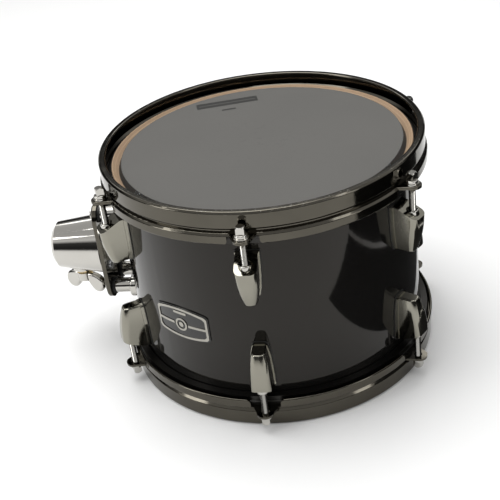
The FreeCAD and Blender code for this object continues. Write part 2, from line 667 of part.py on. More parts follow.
def make_receiver():
    """Tapered round casting with a bevelled outer end and a boss for the wing bolt."""
    length = RECEIVER_END - PLATE_FRONT
    start = Vec(PLATE_FRONT, 0, MOUNT_HEIGHT)
    body = Part.makeCone(RECEIVER_BASE_RADIUS, RECEIVER_TIP_RADIUS, length, start, OUT)
    end_rim = edges_where(body, lambda x, y, z: x > RECEIVER_END - 0.1)
    body = body.makeChamfer(3.0, end_rim)
    boss = cylinder(BOSS_RADIUS, 12, (WING_DISTANCE, 0, BOSS_BOTTOM))
    body = body.fuse(boss)
    cuts = [
        cylinder(SLEEVE_RADIUS, SLEEVE_DEPTH + 2, (SLEEVE_START, 0, MOUNT_HEIGHT), OUT),
        cylinder(BOSS_BORE, MOUNT_HEIGHT - BOSS_BOTTOM + 2, (WING_DISTANCE, 0, BOSS_BOTTOM - 2)),
    ]
    for height, side in receiver_screw_places():
        cuts.append(cylinder(2.0, 9, (PLATE_FRONT - 1, side, height), OUT))
    return body.cut(cuts).removeSplitter()


def make_sleeve():
    """Resin liner that the tom arm slides into, open below for the clamp shoe."""
    liner = cylinder(SLEEVE_RADIUS, SLEEVE_DEPTH, (SLEEVE_START, 0, MOUNT_HEIGHT), OUT)
    bore_start = (SLEEVE_START - 1, 0, MOUNT_HEIGHT)
    bore = cylinder(ARM_DIAMETER / 2 + RUNNING_GAP, SLEEVE_DEPTH + 2, bore_start, OUT)
    window = cylinder(BOSS_BORE, 20, (WING_DISTANCE, 0, MOUNT_HEIGHT - 20))
    return liner.cut([bore, window])


def make_clamp_shoe():
    """Round plunger with a hollowed top that bears on the arm."""
    shoe = cylinder(SHOE_RADIUS, 12, (WING_DISTANCE, 0, SHOE_BOTTOM))
    hollow = MOUNT_HEIGHT - ARM_DIAMETER / 2 - SHOE_REST_DROP
    saddle = cylinder(SADDLE_RADIUS, 30, (WING_DISTANCE - 15, 0, hollow + SADDLE_RADIUS), OUT)
    return shoe.cut(saddle)


def make_insert():
    """Flanged bush pressed into the boss, which carries the wing bolt's thread."""
    low = BOSS_BOTTOM - INSERT_FLANGE
    flange = prism([(x, y, low) for x, y in insert_hexagon(8.2)], (0, 0, INSERT_FLANGE))
    barrel = cylinder(BOSS_BORE, INSERT_TOP - BOSS_BOTTOM, (WING_DISTANCE, 0, BOSS_BOTTOM))
    bore = cylinder(STUD_RADIUS, 20, (WING_DISTANCE, 0, low - 2))
    return flange.fuse(barrel).cut(bore)


def insert_hexagon(radius):
    angles = [math.radians(60 * i) for i in range(6)]
    return [(WING_DISTANCE + radius * math.cos(a), radius * math.sin(a)) for a in angles]


def wing_outline():
    """Butterfly grip seen from the side: two round lobes that hang from the hub."""
    half = [(3.6, 60.6), (7.4, 54.6), (13.2, 50.8), (18.8, 53.2), (20.8, 59.4), (18.6, 65.6),
            (11.6, 68.9)]
    right = [Vec(r, 0, z) for r, z in half]
    left = [Vec(-r, 0, z) for r, z in reversed(half)]
    loop = Part.BSplineCurve()
    loop.interpolate([Vec(0, 0, 62.2)] + right + [Vec(0, 0, 69.8)] + left, PeriodicFlag=True)
    return Part.Wire(loop.toShape())


def make_wing_bolt():
    """Wing, hub and stud of the clamping bolt in one piece."""
    thick = 7.0
    wing = Part.Face(wing_outline()).extrude(Vec(0, thick, 0))
    wing.translate(Vec(0, -thick / 2, 0))
    rims = edges_where(wing, lambda x, y, z: abs(abs(y) - thick / 2) < 0.1)
    wing = wing.makeFillet(2.4, rims)
    hub_top = BOSS_BOTTOM - INSERT_FLANGE - WING_TRAVEL - 0.4
    hub = cylinder(6.6, hub_top - 62.0, (0, 0, 62.0))
    stud = cylinder(STUD_RADIUS - RUNNING_GAP, SHOE_BOTTOM - 64, (0, 0, 64))
    bolt = hub.fuse(wing).fuse(stud)
    bolt.rotate(Vec(0, 0, 0), UP, WING_TURN)
    bolt.translate(Vec(WING_DISTANCE, 0, 0))
    return bolt


# ---- write every node ----------------------------------------------------------------

def write_mount():
    for name, sign in (("lower", -1), ("upper", 1)):
        height = MOUNT_HEIGHT + sign * POST_SPACING_Z / 2
        write("mount_foot_" + name, at_azimuth(make_foot(height), -90))
    heights = [MOUNT_HEIGHT - POST_SPACING_Z / 2, MOUNT_HEIGHT + POST_SPACING_Z / 2]
    write("mount_foot_pads", *[at_azimuth(make_foot_pad(h), -90) for h in heights])
    places = post_places()
    reach = SHELL_RADIUS + 7.5
    radius = FOOT_SCREW_RADIUS - 0.02
    screws = [pan_screw(radius, 4.6, 3.0, FOOT_SCREW_SEAT, reach, h, s) for h, s in places]
    write("mount_foot_screws", *[at_azimuth(screw, -90) for screw in screws])
    write("mount_foot_washers", *[
        at_azimuth(inner_washer(6.0, FOOT_SCREW_RADIUS + 0.1, h, s), -90) for h, s in places])
    write("mount_plate", at_azimuth(make_plate(), -90))
    write("mount_grommets", *[at_azimuth(make_grommet(h, s), -90) for h, s in places])
    write("mount_plate_screws", *[at_azimuth(make_plate_screw(h, s), -90) for h, s in places])
    write("mount_receiver", at_azimuth(make_receiver(), -90))
    screws = [pan_screw(1.98, 3.8, 2.4, PLATE_BACK, PLATE_BACK + 11.5, h, s)
              for h, s in receiver_screw_places()]
    write("receiver_screws", *[at_azimuth(screw, -90) for screw in screws])
    write("receiver_sleeve", at_azimuth(make_sleeve(), -90))
    write("clamp_shoe", at_azimuth(make_clamp_shoe(), -90))
    write("wing_bolt_insert", at_azimuth(make_insert(), -90))
    write("wing_bolt", at_azimuth(make_wing_bolt(), -90))


def write_head(side, place):
    """All the pieces at one head; `place` carries them from the upper head to it."""
    write(side + "_head_film", place(make_film()))
    write(side + "_film_collar", place(make_film_collar()))
    write(side + "_flesh_hoop", place(make_flesh_hoop()))
    write(side + "_hoop", place(make_hoop()))
    lug = make_lug()
    rod = make_rod()
    for number, azimuth in enumerate(LUG_AZIMUTHS, start=1):
        upper = azimuth if side == "batter" else -azimuth
        write(f"{side}_lug_{number}", place(at_azimuth(lug, upper)))
        write(f"{side}_rod_{number}", place(at_azimuth(rod, upper)))
    groups = {
        "lug_gaskets": [make_lug_gasket()],
        "swivel_nuts": [make_swivel_nut()],
        "lug_screws": make_lug_screws(),
        "lug_screw_washers": [inner_washer(4.8, SCREW_DIAMETER / 2 + 0.1, h) for h in SCREW_HEIGHTS],
        "rod_washers": [make_rod_washer()],
    }
    for name, shapes in groups.items():
        write(f"{side}_{name}", *[place(at_azimuth(s, a)) for a in LUG_AZIMUTHS for s in shapes])


write("shell", make_shell())
write("vent_grommet", make_vent_grommet())
write("vent_grommet_ring", make_vent_ring())
write("badge_plate", make_badge())
write_head("batter", lambda shape: shape)
write_head("reso", turned_over)
write_mount()
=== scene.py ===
# %% [markdown]
# # A ten inch tom tom drum in black lacquer and smoked chrome
# The drum is a stack of turned rings. A birch shell stands in the middle, a head of polyester
# film lies over each end, and a folded steel hoop presses the head down. Twelve square-headed
# rods pull the hoops towards cast lugs, and a chromed receiver on the side takes the tom arm.
# The solid parts come ready made and stay where they are. This lesson gives each of them its
# finish, cuts real threads, prints the head and sets up a small studio.

# %% Load the drum's solid parts
import json
import math

import bmesh
import bpy
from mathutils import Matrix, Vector


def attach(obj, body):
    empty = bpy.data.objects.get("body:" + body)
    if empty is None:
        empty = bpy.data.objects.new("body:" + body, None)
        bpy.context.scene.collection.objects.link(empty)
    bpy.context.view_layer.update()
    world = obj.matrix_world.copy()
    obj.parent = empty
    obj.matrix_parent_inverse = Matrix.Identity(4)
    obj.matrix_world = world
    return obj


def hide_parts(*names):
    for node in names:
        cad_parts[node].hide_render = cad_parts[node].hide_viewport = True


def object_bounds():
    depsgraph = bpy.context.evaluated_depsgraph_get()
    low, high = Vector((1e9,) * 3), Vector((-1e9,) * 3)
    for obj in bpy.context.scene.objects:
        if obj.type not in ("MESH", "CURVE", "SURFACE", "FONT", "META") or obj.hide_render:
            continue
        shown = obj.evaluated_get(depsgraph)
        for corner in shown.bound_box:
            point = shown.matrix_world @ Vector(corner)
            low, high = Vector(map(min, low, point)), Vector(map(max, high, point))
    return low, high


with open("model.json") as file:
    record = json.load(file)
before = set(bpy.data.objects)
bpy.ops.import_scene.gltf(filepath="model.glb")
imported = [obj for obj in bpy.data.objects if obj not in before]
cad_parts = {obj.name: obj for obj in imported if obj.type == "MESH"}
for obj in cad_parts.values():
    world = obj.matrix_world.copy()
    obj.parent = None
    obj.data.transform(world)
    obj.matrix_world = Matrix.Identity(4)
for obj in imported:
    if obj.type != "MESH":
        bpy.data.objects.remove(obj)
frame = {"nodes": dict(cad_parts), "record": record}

MM = 0.001
NODES = frame["nodes"]
cad_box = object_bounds()
drum_height = cad_box[1].z - cad_box[0].z
print(f"{len(NODES)} solid parts, {drum_height / MM:.1f} mm tall")

# %% [markdown]
# ## The camera
# The drum is seen from above and slightly to one side, as a player walks up to it. The camera
# leans a few degrees, so that the drum's axis isn't quite upright in the picture. A long lens
# keeps the near lug and the far rim at about the same scale.

# %% Camera
SENSOR_WIDTH = 36.0
FOCAL_LENGTH = 72.95
CAMERA_PLACE = (0.1201, -0.7563, 0.5450)
CAMERA_TURN = (58.88, 6.60, 6.61)       # degrees about X, Y and Z

camera_data = bpy.data.cameras.new("studio_camera")
camera_data.sensor_width = SENSOR_WIDTH
camera_data.lens = FOCAL_LENGTH
camera = bpy.data.objects.new("studio_camera", camera_data)
camera.location = CAMERA_PLACE
camera.rotation_euler = [math.radians(angle) for angle in CAMERA_TURN]
bpy.context.scene.collection.objects.link(camera)
bpy.context.scene.camera = camera
print(f"camera {camera.location.length:.3f} m from the foot of the drum")

# %% [markdown]
# ## A way to write node graphs
# A finish is a small calculation on a point's place: how far it is from the axis, how high, and
# what a cloud of noise says there. Written as Python expressions it stays readable. `Value`
# wraps one socket and turns +, -, * and / into maths nodes. `Graph` holds one node tree, and its
# method `node` adds any other node with its settings and the values or links of its inputs. The
# threads further down are written with the same two classes.

# %% Value and Graph
class Value:
    """One number, colour or shape that flows through a node tree."""

    def __init__(self, graph, socket):
        self.graph = graph
        self.socket = socket

    def maths(self, operation, *others):
        inputs = dict(enumerate((self, *others)))
        return self.graph.node("ShaderNodeMath", {"operation": operation}, inputs)

    def __add__(self, other):
        return self.maths("ADD", other)

    def __sub__(self, other):
        return self.maths("SUBTRACT", other)

    def __rsub__(self, other):
        return self.maths("MULTIPLY", -1.0).maths("ADD", other)

    def __mul__(self, other):
        return self.maths("MULTIPLY", other)

    def __truediv__(self, other):
        return self.maths("DIVIDE", other)

    __radd__ = __add__
    __rmul__ = __mul__

    def larger(self, other):
        return self.maths("MAXIMUM", other)

    def size(self):
        return self.maths("ABSOLUTE")


class Graph:
    """A node tree that nodes are added to one by one."""

    def __init__(self, tree):
        self.tree = tree

    def node(self, kind, settings=None, inputs=None, output=0):
        made = self.tree.nodes.new(kind)
        for name, value in (settings or {}).items():
            setattr(made, name, value)
        for key, value in (inputs or {}).items():
            self.feed(made.inputs[key], value)
        return Value(self, made.outputs[output])

    def feed(self, socket, value):
        if isinstance(value, Value):
            self.tree.links.new(value.socket, socket)
        elif hasattr(value, "__len__") and len(value) == 3 and len(socket.default_value) == 4:
            socket.default_value = (*value, 1.0)
        else:
            socket.default_value = value

    def axes(self, place):
        return [self.node("ShaderNodeSeparateXYZ", None, {0: place}, k) for k in range(3)]

    def vector(self, x, y, z):
        return self.node("ShaderNodeCombineXYZ", None, {0: x, 1: y, 2: z})


print("node graphs are written with Value and Graph")

# %% Finish
class Finish(Graph):
    """A material with one main shader, built up by adding nodes."""

    # the mix node keeps sockets for numbers, vectors and colours side by side
    MIX_SHARE, MIX_FIRST, MIX_SECOND, MIX_COLOUR = 0, 6, 7, 2

    def __init__(self, name, **constants):
        self.material = bpy.data.materials.new(name)
        self.material.use_nodes = True
        super().__init__(self.material.node_tree)
        self.shader = self.tree.nodes["Principled BSDF"]
        for socket, value in constants.items():
            self.feed(self.shader.inputs[socket.replace("_", " ")], value)

    def place(self):
        return self.node("ShaderNodeTexCoord", output="Object")

    def stretched(self, place, scale):
        """The place with each axis multiplied, for grain that runs one way."""
        return self.node("ShaderNodeMapping", None, {"Vector": place, "Scale": scale})

    def noise(self, place, scale, detail=2.0, roughness=0.5):
        inputs = {"Vector": place, "Scale": scale, "Detail": detail, "Roughness": roughness}
        return self.node("ShaderNodeTexNoise", None, inputs, "Fac")

    def between(self, value, low, high, out_low=0.0, out_high=1.0):
        """Soft step: out_low below low, out_high above high."""
        inputs = {"Value": value, "From Min": low, "From Max": high,
                  "To Min": out_low, "To Max": out_high}
        return self.node("ShaderNodeMapRange", {"interpolation_type": "SMOOTHSTEP"}, inputs)

    def mix(self, share, first, second):
        """Colour between two colours."""
        inputs = {self.MIX_SHARE: share, self.MIX_FIRST: first, self.MIX_SECOND: second}
        return self.node("ShaderNodeMix", {"data_type": "RGBA"}, inputs, self.MIX_COLOUR)

    def bump(self, height, depth):
        """Raise the surface by height times depth, in metres."""
        inputs = {"Height": height, "Distance": depth, "Strength": 1.0}
        self.set("Normal", self.node("ShaderNodeBump", None, inputs, "Normal"))

    def set(self, socket, value):
        self.feed(self.shader.inputs[socket], value)


print("finishes are written with Finish")

# %% [markdown]
# ## Lacquer over birch
# The shell is rolled from thin birch sheets, sprayed black outside and left bare inside. One
# solid carries both, so the finish asks how far a point is from the drum's axis: beyond the
# counter cut it is lacquer, and nearer it is wood. On the sloping bearing edge the same distance
# counts the sheets, which is why plies show there as rings.

# %% Shell finish
SHELL_OUTER = 125.4 * MM
SHELL_INNER = 119.4 * MM
PLY = 1.0 * MM
LACQUER_EDGE = SHELL_OUTER - 0.3 * MM   # the counter cut is bare wood from here inwards
ORANGE_PEEL = 0.012 * MM                # depth of the unevenness of the lacquer
LACQUER_TONES = (0.0045, 0.0043, 0.004), (0.0075, 0.0072, 0.0068)
LONG_PLY_TONES = (0.60, 0.43, 0.28), (0.50, 0.34, 0.21)
CROSS_PLY_TONES = (0.47, 0.31, 0.19), (0.40, 0.26, 0.155)
GLUE_TONE = (0.24, 0.14, 0.08)

shell_finish = Finish("black_lacquer_on_birch", IOR=1.37, Specular_Tint=(1.0, 0.93, 0.84),
                      Coat_Roughness=0.03)


def distance_from_axis(finish, place, centre=(0.0, 0.0)):
    """How far a point is from an upright axis."""
    x, y, _ = finish.axes(place)
    across, along = x - centre[0], y - centre[1]
    return (across * across + along * along).maths("SQRT")


def paint_shell(finish):
    place = finish.place()
    radius = distance_from_axis(finish, place)
    lacquered = finish.between(radius, LACQUER_EDGE - 0.15 * MM, LACQUER_EDGE)
    plies = (radius - SHELL_INNER) / PLY
    within = plies.maths("FRACT")
    glue = finish.between(within, 0.0, 0.12, 1.0, 0.0).larger(finish.between(within, 0.9, 1.0))
    crosswise = finish.between(plies.maths("MODULO", 2.0), 0.95, 1.05)
    grain = finish.noise(finish.stretched(place, (900.0, 900.0, 60.0)), 1.0, 4.0, 0.6)
    figure = finish.noise(finish.stretched(place, (40.0, 40.0, 9.0)), 1.0, 3.0)
    pale = finish.mix(figure, *LONG_PLY_TONES)
    dark = finish.mix(grain, *CROSS_PLY_TONES)
    wood = finish.mix(crosswise * 0.55 + grain * 0.25, pale, dark)
    wood = finish.mix(glue * 0.6, wood, GLUE_TONE)
    black = finish.mix(finish.noise(place, 22.0, 3.0), *LACQUER_TONES)
    finish.set("Base Color", finish.mix(lacquered, wood, black))
    haze = finish.noise(place, 55.0, 4.0, 0.65)
    scratches = finish.noise(finish.stretched(place, (60.0, 60.0, 2600.0)), 1.0, 2.0)
    gloss = 0.035 + haze * 0.05 + finish.between(scratches, 0.66, 0.78) * 0.06
    bare = 0.48 + grain * 0.2
    finish.set("Roughness", lacquered * gloss + (1.0 - lacquered) * bare)
    finish.set("Coat Weight", lacquered * 0.08)
    ripple = finish.noise(place, 190.0, 1.0)
    finish.bump(lacquered * ripple + (1.0 - lacquered) * grain * 3.0, ORANGE_PEEL)


paint_shell(shell_finish)
print("shell: lacquer outside, birch plies inside")

# %% [markdown]
# ## Plated metal
# Lugs, hoops and the receiver are all polished and plated, and differ in tone. What tells plated
# metal from a mirror is small: a cloud of handling haze, fine polishing lines that run round
# the drum, and a faint unevenness of the cast surface under the plate. One function writes them
# all, and each plating gives its own tone and amounts.

# %% Plated finishes
POLISHING_LINES = 0.04                  # how much the lines dull the plate


def plated(name, tone, deep, gloss, haze, unevenness):
    """Polished plate over metal: two tones, haze, polishing lines and a gentle swell."""
    finish = Finish(name, Metallic=1.0)
    place = finish.place()
    cloud = finish.noise(place, 38.0, 3.0)
    smudge = finish.between(finish.noise(place, 95.0, 4.0, 0.6), 0.48, 0.72)
    run = finish.noise(finish.stretched(place, (120.0, 120.0, 5200.0)), 1.0, 2.0)
    polish = finish.between(run, 0.55, 0.8)
    finish.set("Base Color", finish.mix(cloud, deep, tone))
    finish.set("Roughness", gloss + smudge * haze + polish * POLISHING_LINES)
    swell = finish.noise(place, 260.0, 2.0)
    finish.bump(swell + polish * 0.15, unevenness)
    return finish


smoked_chrome = plated("smoked_chrome", (0.30, 0.288, 0.243), (0.24, 0.23, 0.193),
                       gloss=0.07, haze=0.09, unevenness=0.02 * MM)
bright_chrome = plated("bright_chrome", (0.55, 0.535, 0.50), (0.46, 0.447, 0.415),
                       gloss=0.05, haze=0.08, unevenness=0.012 * MM)
print("smoked and bright chrome made")

# %% [markdown]
# ## Black nickel hoops
# The hoops are darker than the lugs, and the upper rim is where sticks land. Round the rim the
# plate is scuffed: short dull marks with a little bare metal in them, densest on the very top
# and gone a few millimetres down. Height alone says where, so one finish serves both hoops.

# %% Hoop finish
RIM_TOP = cad_box[1].z
SCUFF_REACH = 3.2 * MM
BARE_METAL = (0.36, 0.345, 0.32)
black_nickel = plated("black_nickel", (0.108, 0.100, 0.082), (0.078, 0.072, 0.059),
                      gloss=0.075, haze=0.10, unevenness=0.012 * MM)


def scuff_rim(finish, rim, reach):
    """Stick marks near the height `rim`, fading out `reach` below it."""
    place = finish.place()
    height = finish.axes(place)[2]
    near = finish.between(height, rim - reach, rim - 0.2 * reach)
    marks = finish.noise(finish.stretched(place, (420.0, 420.0, 900.0)), 1.0, 3.0, 0.7)
    worn = finish.between(marks, 0.60, 0.72) * near
    plate, gloss = [Value(finish, finish.shader.inputs[name].links[0].from_socket)
                    for name in ("Base Color", "Roughness")]
    finish.set("Base Color", finish.mix(worn * 0.5, plate, BARE_METAL))
    finish.set("Roughness", gloss + worn * 0.22)


scuff_rim(black_nickel, RIM_TOP, SCUFF_REACH)
print("black nickel made, scuffed along the rim")

# %% [markdown]
# ## The head
# The film is smoked grey and slightly satin, and clear in a band near its edge, where the birch
# bearing edge shows through. It is the transparency that changes with the distance from the
# axis, not a painted ring, so the wood under it is seen where it really is. A plain bar mark is
# printed near the far side, the place where heads carry one.

# %% Head film finish
CLEAR_FROM = 116.6 * MM
CLEAR_ALPHA = 0.10
FILM_TONES = (0.090, 0.088, 0.082), (0.103, 0.100, 0.093)
INK = (0.018, 0.018, 0.017)
MARK_MIDDLE = (-0.0405, 0.0885)
MARK_ANGLE = math.radians(14.5)
MARK_SIZE = (0.056, 0.012)
MARK_GAP_SIZE = (MARK_SIZE[0] - 0.004, 0.0012)
SMALL_MARK_DROP = 0.0155
SMALL_MARK_SIZE = (0.013, 0.0034)
PRINTED_ABOVE = 0.1                     # height that tells the upper head from the lower
PLAYED_RADIUS = 0.085

head_film = Finish("smoked_head_film", IOR=1.3)


def rounded_bar(finish, across, along, size):
    """One inside a bar with soft edges, nothing outside it."""
    soft = 0.35 * MM
    inside_length = finish.between(across.size(), size[0] / 2 - soft, size[0] / 2, 1.0, 0.0)
    inside_width = finish.between(along.size(), size[1] / 2 - soft, size[1] / 2, 1.0, 0.0)
    return inside_length * inside_width


def paint_head(finish):
    place = finish.place()
    x, y, height = finish.axes(place)
    radius = distance_from_axis(finish, place)
    dx, dy = x - MARK_MIDDLE[0], y - MARK_MIDDLE[1]
    turn, lean = math.cos(MARK_ANGLE), math.sin(MARK_ANGLE)
    across = dx * turn + dy * lean
    along = dy * turn - dx * lean
    mark = rounded_bar(finish, across, along, MARK_SIZE)
    gap = rounded_bar(finish, across, along, MARK_GAP_SIZE)
    small = rounded_bar(finish, across, along + SMALL_MARK_DROP, SMALL_MARK_SIZE)
    upper = finish.between(height, PRINTED_ABOVE, PRINTED_ABOVE + 0.01)
    ink = (mark - gap).larger(small) * upper
    fibre = finish.noise(place, 1400.0, 2.0)
    cloud = finish.noise(place, 14.0, 3.0)
    grey = finish.mix(cloud, *FILM_TONES)
    finish.set("Base Color", finish.mix(ink * 0.92, grey, INK))
    played = finish.between(radius, 0.02, PLAYED_RADIUS, 1.0, 0.0)
    taps = finish.between(finish.noise(place, 210.0, 3.0, 0.6), 0.55, 0.75) * played
    finish.set("Roughness", 0.40 + fibre * 0.08 + taps * 0.10 - ink * 0.08)
    finish.set("Alpha", finish.between(radius, CLEAR_FROM - 0.3 * MM, CLEAR_FROM + 0.7 * MM,
                                       1.0, CLEAR_ALPHA))
    finish.bump(fibre + taps * 3.0, 0.006 * MM)


paint_head(head_film)
print(f"head film: clear beyond {CLEAR_FROM / MM:.1f} mm")

# %% [markdown]
# ## Quieter materials
# The flesh hoop is rolled aluminium, anodised black, with lines that run round it. The screws
# inside are zinc plated, and pads and grommets are black rubber. They are small or half hidden,
# and still seen when the drum is turned over.

# %% Aluminium, zinc, brass, rubber and resin
WING_AXIS = (-0.1765, 0.0)


def ringed_metal(name, pale, deep, centre=(0.0, 0.0), pitch=0.25 * MM, rough=0.28):
    """Metal turned or rolled round an upright axis, with fine lines round it."""
    finish = Finish(name, Metallic=1.0)
    place = finish.place()
    radius = distance_from_axis(finish, place, centre)
    height = finish.axes(place)[2]
    lines = finish.vector(radius / pitch, height / pitch, 0.0)
    groove = finish.noise(lines, 1.0, 2.0)
    cloud = finish.noise(place, 60.0, 3.0)
    finish.set("Base Color", finish.mix(cloud * 0.6 + groove * 0.4, deep, pale))
    finish.set("Roughness", rough + groove * 0.18)
    finish.bump(groove, 0.02 * MM)
    return finish


def clouded_metal(name, pale, deep):
    """Zinc plate: pale crystals in a duller ground."""
    finish = Finish(name, Metallic=1.0)
    place = finish.place()
    crystals = finish.node("ShaderNodeTexVoronoi", None,
                           {"Vector": place, "Scale": 900.0}, "Color")
    shade = finish.axes(crystals)[0]
    finish.set("Base Color", finish.mix(shade, deep, pale))
    finish.set("Roughness", 0.26 + shade * 0.16)
    finish.bump(finish.noise(place, 1500.0, 2.0), 0.008 * MM)
    return finish


def moulded(name, pale, deep, rough, grain, depth):
    """Rubber or resin from a mould: fine grain, and dust that dulls it in patches."""
    finish = Finish(name, IOR=1.48)
    place = finish.place()
    speckle = finish.noise(place, grain, 3.0, 0.6)
    dust = finish.between(finish.noise(place, 80.0, 3.0), 0.45, 0.75)
    finish.set("Base Color", finish.mix(speckle * 0.5 + dust * 0.5, deep, pale))
    finish.set("Roughness", rough + dust * 0.12)
    finish.bump(speckle, depth)
    return finish


aluminium = ringed_metal("black_anodised_aluminium", (0.055, 0.053, 0.05),
                         (0.03, 0.029, 0.027))
brass = ringed_metal("turned_brass", (0.70, 0.55, 0.30), (0.55, 0.41, 0.20),
                     centre=WING_AXIS, pitch=0.2 * MM, rough=0.2)
zinc = clouded_metal("zinc_plate", (0.66, 0.67, 0.68), (0.47, 0.48, 0.50))
rubber = moulded("black_rubber", (0.032, 0.032, 0.031), (0.016, 0.016, 0.016),
                 rough=0.52, grain=1600.0, depth=0.03 * MM)
resin = moulded("grey_resin", (0.14, 0.14, 0.14), (0.10, 0.10, 0.10),
                rough=0.38, grain=900.0, depth=0.02 * MM)
print("aluminium, brass, zinc, rubber and resin made")

# %% [markdown]
# ## The badge
# A thin plate follows the shell. Its field is black enamel, and the border, stripe and round
# emblem stand above it in chrome. What stands further from the drum's axis is chrome, so the
# finish needs no drawing of the emblem.

# %% Badge finish
FIELD_FACE = 126.3 * MM
RELIEF_TONES = (0.30, 0.29, 0.26), (0.40, 0.385, 0.345)
ENAMEL_TONES = (0.010, 0.010, 0.009), (0.020, 0.019, 0.018)

badge_finish = Finish("enamel_and_chrome_badge")


def paint_badge(finish):
    place = finish.place()
    radius = distance_from_axis(finish, place)
    raised = finish.between(radius, FIELD_FACE + 0.05 * MM, FIELD_FACE + 0.2 * MM)
    cloud = finish.noise(place, 90.0, 3.0)
    specks = finish.noise(place, 700.0, 3.0, 0.7)
    chrome = finish.mix(cloud, *RELIEF_TONES)
    enamel = finish.mix(specks, *ENAMEL_TONES)
    finish.set("Base Color", finish.mix(raised, enamel, chrome))
    finish.set("Metallic", raised)
    finish.set("Roughness", 0.08 + cloud * 0.08 + (1.0 - raised) * 0.06)
    finish.bump(specks, 0.01 * MM)


paint_badge(badge_finish)
print("badge: enamel field, chrome relief")

# %% [markdown]
# ## Dress the solid parts
# Every part names its material slot in the drum's record, so the finishes are given out by that
# name. Only material slots change: the parts' shapes and places are left alone.

# %% Give each part its finish
FINISHES = {
    "shell_lacquer": shell_finish,
    "smoked_chrome": smoked_chrome,
    "black_nickel": black_nickel,
    "bright_chrome": bright_chrome,
    "head_film": head_film,
    "flesh_hoop_aluminium": aluminium,
    "black_rubber": rubber,
    "grey_resin": resin,
    "zinc_steel": zinc,
    "brass_bush": brass,
    "badge_metal": badge_finish,
}


def dress(solid, finish):
    """Put one finish in all of a part's material slots."""
    if not solid.material_slots:
        solid.data.materials.append(finish.material)
    for slot in solid.material_slots:
        slot.material = finish.material


for part in frame["record"]["subparts"]:
    dress(NODES[part["node"]], FINISHES[part["material_slot"]])

# %% [markdown]
# ## Threads on the tension rods
# The solid rods have smooth shanks at the thread's outer size. Here each shank gets a real
# right-hand thread. A flat strip three points wide is wound up a screw line: its two edges lie
# in the groove and its middle on the crest, so each turn's upper edge meets the next turn's lower
# edge, and merging close points closes the surface. Over the first and last turn the crest sinks
# into the groove, as a cut thread runs out. A plain core fills the inside.

# %% Thread builder
CORE_CLEARANCE = 0.02 * MM              # the core stays this far inside the groove
MERGE_WITHIN = 0.002 * MM
SHANK = {"batter": (137.15 * MM, 182.15 * MM), "reso": (15.85 * MM, 60.85 * MM)}
THREAD_SETTINGS = {"Root Radius": 2.35 * MM, "Crest Radius": 2.745 * MM,
                   "Pitch": 25.4 / 24 * MM, "Steps per Turn": 24}


def joined(graph, *shapes):
    """Several shapes as one."""
    join = graph.tree.nodes.new("GeometryNodeJoinGeometry")
    for shape in shapes:
        graph.tree.links.new(shape.socket, join.inputs[0])
    return Value(graph, join.outputs[0])


def thread_graph():
    """Geometry nodes that add a threaded shank to the head of a rod."""
    tree = bpy.data.node_groups.new("threaded_shank", "GeometryNodeTree")
    graph = Graph(tree)
    kinds = {"Geometry": "Geometry", "Foot": "Vector", "Length": "Float", "Root Radius": "Float",
             "Crest Radius": "Float", "Pitch": "Float", "Steps per Turn": "Int",
             "Finish": "Material"}
    for name, kind in kinds.items():
        tree.interface.new_socket(name, in_out="INPUT", socket_type=f"NodeSocket{kind}")
    tree.interface.new_socket("Geometry", in_out="OUTPUT", socket_type="NodeSocketGeometry")
    given = tree.nodes.new("NodeGroupInput")
    head, foot, length, root, crest, pitch, per_turn, finish = [
        Value(graph, given.outputs[name]) for name in kinds]
    turns = (length / pitch).maths("FLOOR") - 1.0
    steps = turns * per_turn
    strip = graph.node("GeometryNodeMeshGrid", None, {
        "Size X": steps, "Size Y": 2.0, "Vertices X": steps + 1.0, "Vertices Y": 3})
    along, across, _ = graph.axes(graph.node("GeometryNodeInputPosition"))
    step = along + steps * 0.5
    turned = step / per_turn
    from_end = turned.maths("MINIMUM", turns - turned)
    crest_share = (1.0 - across.size()) * from_end.maths("MINIMUM", 1.0)
    radius = root + (crest - root) * crest_share
    angle = turned * math.tau
    height = (turned + (across + 1.0) * 0.5) * pitch
    wound = graph.vector(radius * angle.maths("COSINE"), radius * angle.maths("SINE"), height)
    strip = graph.node("GeometryNodeSetPosition", None, {"Geometry": strip, "Position": wound})
    strip = graph.node("GeometryNodeMergeByDistance", None,
                       {"Geometry": strip, "Distance": MERGE_WITHIN})
    core = graph.node("GeometryNodeMeshCylinder", None,
                      {"Vertices": per_turn, "Radius": root - CORE_CLEARANCE, "Depth": length})
    lift = graph.vector(0.0, 0.0, length * 0.5)
    core = graph.node("GeometryNodeTransform", None, {"Geometry": core, "Translation": lift})
    shank = graph.node("GeometryNodeTransform", None,
                       {"Geometry": joined(graph, strip, core), "Translation": foot})
    rod = graph.node("GeometryNodeRealizeInstances", None,
                     {"Geometry": joined(graph, shank, head)})
    rod = graph.node("GeometryNodeSetMaterial", None, {"Geometry": rod, "Material": finish})
    tree.links.new(rod.socket, tree.nodes.new("NodeGroupOutput").inputs["Geometry"])
    return tree


THREAD = thread_graph()
print(f"thread graph of {len(THREAD.nodes)} nodes")

# %% [markdown]
# The square head and the collar keep the solid rod's own shape. They are cut off a copy of it
# just under the collar, and the threaded shank takes the place of the rest.

# %% Cut the heads off and thread the shanks
LUG_COUNT = 6
CUT_STUB = 0.02 * MM                    # shank left under the collar, so that the cut is clean


